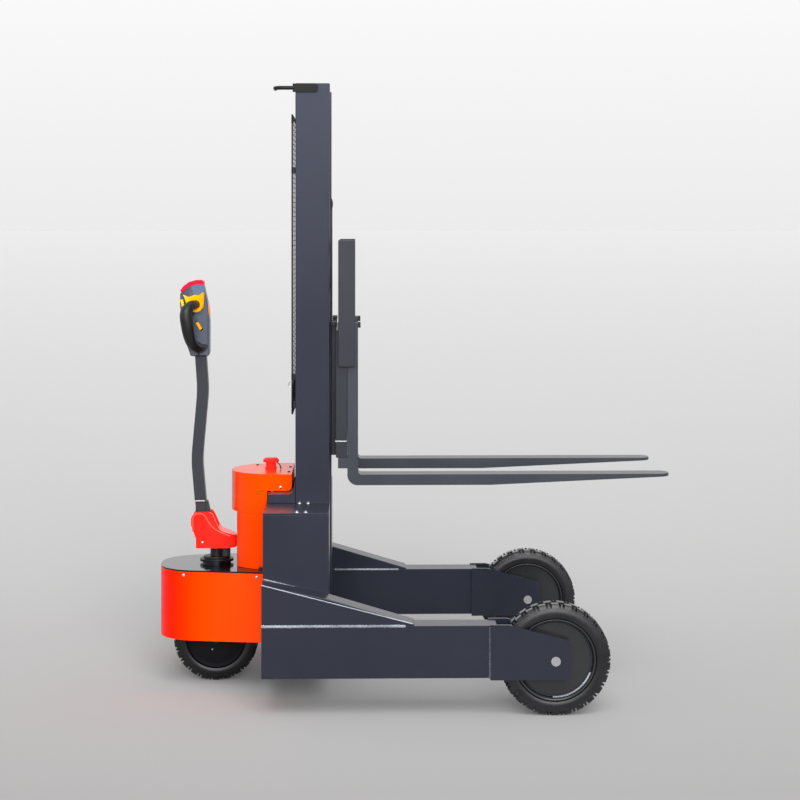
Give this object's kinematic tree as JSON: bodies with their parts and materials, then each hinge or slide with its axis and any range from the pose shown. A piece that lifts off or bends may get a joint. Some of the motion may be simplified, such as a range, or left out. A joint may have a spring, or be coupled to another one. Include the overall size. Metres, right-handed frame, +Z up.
{
  "type": "electric walk-behind straddle stacker",
  "caption": "Walk-behind electric stacker with a tall mast, lifting forks, a steered drive wheel with tiller, and wide straddle legs on large lugged tyres.",
  "frame": {"origin": "on the floor, under the middle of the whole machine", "axes": "+X along the forks towards their tips, +Y to the machine's left, +Z up"},
  "size_m": [1.93, 1.292, 2.29],
  "materials": {
    "steel_paint": "semi-gloss powder coat",
    "orange_paint": "gloss paint",
    "black_gloss": "gloss black",
    "red_plastic": "gloss plastic",
    "tyre": "matte rubber",
    "bright_steel": "bright pin steel",
    "chrome_rod": "hard chrome",
    "chain_steel": "oiled steel",
    "dark_machine": "black castings",
    "arm_paint": "satin",
    "head_plastic": "satin moulding",
    "grip_rubber": "soft rubber",
    "amber_plastic": "gloss plastic",
    "battery_case": "matte"
  },
  "bodies": {
    "chassis": {"side_box_left": "steel_paint", "side_box_right": "steel_paint", "box_lids": "steel_paint", "battery": "battery_case", "base_floor": "steel_paint", "base_back": "steel_paint", "mast_feet": "steel_paint", "leg_tube_left": "steel_paint", "leg_tube_right": "steel_paint", "leg_gusset_left": "steel_paint", "leg_gusset_right": "steel_paint", "wheel_plates_left": "steel_paint", "wheel_plates_right": "steel_paint", "axles": "bright_steel", "mast_channel_left": "steel_paint", "mast_channel_right": "steel_paint", "mast_beams": "steel_paint", "top_guard_bar": "dark_machine", "mesh_guard": "dark_machine", "lift_cylinder": "steel_paint", "chain_back": "chain_steel", "drive_cover": "orange_paint", "drive_deck": "black_gloss", "hood_lower": "orange_paint", "hood_upper": "orange_paint", "power_pack": "dark_machine", "emergency_button": "red_plastic"},
    "wheel_left": {"wheel_disc_left": "steel_paint", "tyre_left": "tyre"},
    "wheel_right": {"wheel_disc_right": "steel_paint", "tyre_right": "tyre"},
    "crosshead": {"piston_crosshead": "chrome_rod", "chain_pulleys": "dark_machine", "chain_turns": "chain_steel", "chain_front": "chain_steel"},
    "carriage": {"carriage_frame": "steel_paint", "carriage_rollers": "dark_machine", "load_backrest": "steel_paint", "fork_left": "steel_paint", "fork_right": "steel_paint"},
    "steering": {"drive_yoke": "dark_machine", "drive_motor": "dark_machine", "tiller_base": "arm_paint", "tiller_cover": "red_plastic"},
    "drive_wheel": {"drive_hub": "dark_machine", "drive_tyre": "tyre"},
    "tiller": {"tiller_arm": "arm_paint", "tiller_head": "head_plastic", "tiller_grips": "grip_rubber", "throttle": "amber_plastic"}
  },
  "joints": [
    {"name": "wheel_left_spin", "type": "hinge", "parent": "chassis", "child": "wheel_left", "pos_m": [0.502, 0.579, 0.2], "axis": [0, 1, 0], "continuous": true},
    {"name": "wheel_right_spin", "type": "hinge", "parent": "chassis", "child": "wheel_right", "pos_m": [0.502, -0.579, 0.2], "axis": [0, 1, 0], "continuous": true},
    {"name": "steer", "type": "hinge", "parent": "chassis", "child": "steering", "pos_m": [-0.752, 0, 0.45], "axis": [0, 0, 1], "range_deg": [-90, 90]},
    {"name": "drive_spin", "type": "hinge", "parent": "steering", "child": "drive_wheel", "pos_m": [-0.752, 0, 0.163], "axis": [0, 1, 0], "continuous": true},
    {"name": "tiller_tilt", "type": "hinge", "parent": "steering", "child": "tiller", "pos_m": [-0.795, 0, 0.622], "axis": [0, -1, 0], "range_deg": [0, 75], "stiffness_Nm_per_rad": 40, "springref_deg": -20.05},
    {"name": "lift", "type": "slide", "parent": "chassis", "child": "crosshead", "axis": [0, 0, 1], "range_m": [-0.365, 0.4], "deforming": ["chain_back"]},
    {"name": "carriage_slide", "type": "slide", "parent": "crosshead", "child": "carriage", "axis": [0, 0, 1], "range_m": [-0.365, 0.4], "deforming": ["chain_front"]}
  ],
  "couplings": [
    {"joint": "carriage_slide", "follows": "lift", "ratio": 1}
  ]
}
